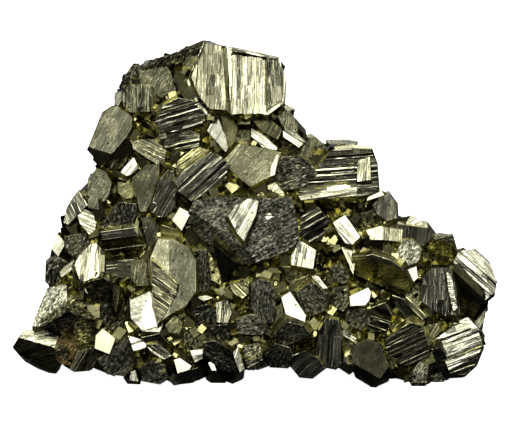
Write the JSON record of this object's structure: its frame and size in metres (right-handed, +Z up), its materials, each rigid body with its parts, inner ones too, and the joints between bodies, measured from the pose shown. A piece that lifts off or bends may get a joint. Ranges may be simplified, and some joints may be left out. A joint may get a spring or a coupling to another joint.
{
  "type": "pyrite specimen",
  "caption": "Free-standing mound of intergrown brassy pyrite crystals, striated cubes and blocks over massive ore, flat underneath; a mineral display specimen.",
  "frame": {"origin": "centre of the specimen's outline, on the plane that it rests on", "axes": "+X along the specimen's width, to the right as seen from the crystal face; -Y is the crystal face; +Z up"},
  "size_m": [0.0974, 0.0455, 0.0666],
  "materials": {
    "pyrite": "bright metallic crystal faces, striated, with duller broken ore between them"
  },
  "bodies": {
    "root": {"pyrite_cluster": "pyrite"}
  },
  "joints": []
}
